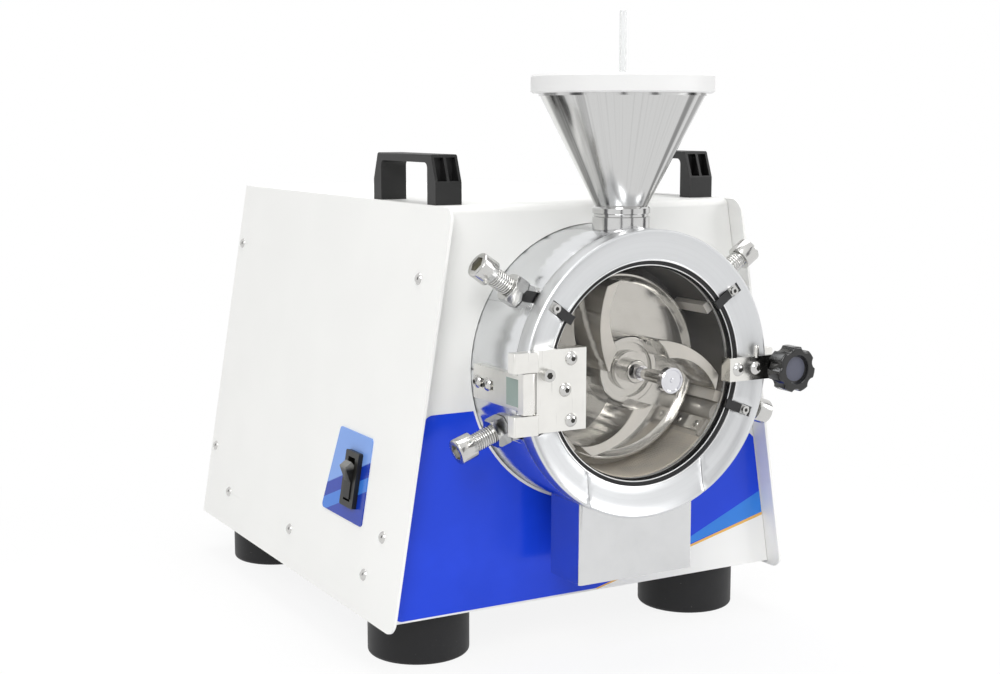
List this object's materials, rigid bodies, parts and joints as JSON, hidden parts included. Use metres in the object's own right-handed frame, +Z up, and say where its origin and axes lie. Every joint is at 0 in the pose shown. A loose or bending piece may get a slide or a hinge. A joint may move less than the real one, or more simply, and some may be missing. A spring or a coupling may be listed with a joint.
{
  "type": "cyclone mill",
  "caption": "Bench cyclone mill with a leaning sheet-metal cabinet, round glazed milling chamber, curved-vane rotor, funnel feed and discharge chute.",
  "frame": {"origin": "on the bench, on the middle plane, halfway between the front and rear tips", "axes": "+Z up, the chamber door faces -Y, +X to the right seen from the door"},
  "size_m": [0.332, 0.493, 0.4495],
  "materials": {
    "cabinet_paint": "fine-textured off-white powder coat",
    "inner_steel": "grey primer",
    "bright_steel": "polished stainless fasteners",
    "black_rubber": "matt black",
    "black_plastic": "matt black",
    "blue_plate": "gloss blue film",
    "machined_aluminium": "satin turned",
    "black_steel": "blackened",
    "stainless": "fine brushed",
    "clear_window": "clear",
    "chrome_knob": "polished",
    "turned_steel": "ground",
    "cast_iron": "painted casting",
    "white_plastic": "satin white",
    "clear_plastic": "clear"
  },
  "bodies": {
    "cabinet": {"adjusting_screws": "bright_steel", "base_tray": "inner_steel", "bearing_housing": "cast_iron", "cabinet_screws": "bright_steel", "cable_gland": "black_plastic", "chamber_bracket": "inner_steel", "chamber_housing": "machined_aluminium", "chamber_seal": "black_rubber", "discharge_chute": "stainless", "drive_belt": "black_rubber", "foot_screws": "bright_steel", "frame_uprights": "inner_steel", "front_top_cover": "cabinet_paint", "fuse_holder": "black_plastic", "handle_screws": "bright_steel", "hinge_bracket": "stainless", "hinge_bracket_screws": "bright_steel", "hopper_cone": "stainless", "hopper_neck": "stainless", "impact_bars": "black_steel", "latch_catch": "stainless", "left_handle": "black_plastic", "left_side_panel": "cabinet_paint", "lock_nuts": "bright_steel", "machine_bolts": "bright_steel", "motor_housing": "cast_iron", "outlet_screen": "stainless", "rear_panel": "cabinet_paint", "right_handle": "black_plastic", "right_side_panel": "cabinet_paint", "rubber_feet": "black_rubber", "screen_clamp": "stainless", "screen_clamp_screws": "bright_steel", "screen_clips": "black_steel", "shaft_seal": "black_rubber", "spindle_bearings": "turned_steel", "switch_frame": "black_plastic", "switch_plate": "blue_plate"},
    "door": {"door_ring": "machined_aluminium", "ring_lower_segment": "machined_aluminium", "window_glass": "clear_window", "window_gasket": "black_rubber", "window_clips": "black_steel", "window_clip_screws": "bright_steel", "window_knob": "chrome_knob", "hinge_leaf": "stainless", "hinge_pin": "bright_steel", "door_fitting_screws": "bright_steel", "latch_strip": "stainless"},
    "latch_knob": {"star_knob": "black_plastic", "knob_stud": "bright_steel"},
    "rotor_assembly": {"rotor": "stainless", "rotor_screw": "bright_steel", "spindle": "turned_steel", "spindle_pulley": "machined_aluminium"},
    "motor_rotor": {"motor_shaft": "turned_steel", "motor_pulley": "machined_aluminium"},
    "switch": {"switch_lever": "black_plastic"},
    "lid": {"hopper_lid": "white_plastic", "lid_rod": "clear_plastic"}
  },
  "joints": [
    {"name": "door_swing", "type": "hinge", "parent": "cabinet", "child": "door", "pos_m": [-0.0964, -0.225, 0.203], "axis": [0, 0, -1], "range_deg": [0, 105]},
    {"name": "latch_knob_turn", "type": "hinge", "parent": "door", "child": "latch_knob", "pos_m": [0.107, -0.23, 0.205], "axis": [0, -1, 0], "range_deg": [0, 720]},
    {"name": "rotor_spin", "type": "hinge", "parent": "cabinet", "child": "rotor_assembly", "pos_m": [0, -0.15, 0.2065], "axis": [0, 1, 0], "continuous": true},
    {"name": "motor_spin", "type": "hinge", "parent": "cabinet", "child": "motor_rotor", "pos_m": [0, 0, 0.11], "axis": [0, 1, 0], "continuous": true},
    {"name": "switch_throw", "type": "hinge", "parent": "cabinet", "child": "switch", "pos_m": [-0.14955, -0.0717, 0.12149], "axis": [0, 1, 0], "range_deg": [0, 28]},
    {"name": "lid_lift", "type": "slide", "parent": "cabinet", "child": "lid", "axis": [0, 0, 1], "range_m": [0, 0.06]}
  ],
  "couplings": [
    {"joint": "motor_spin", "follows": "rotor_spin", "ratio": 0.4}
  ]
}
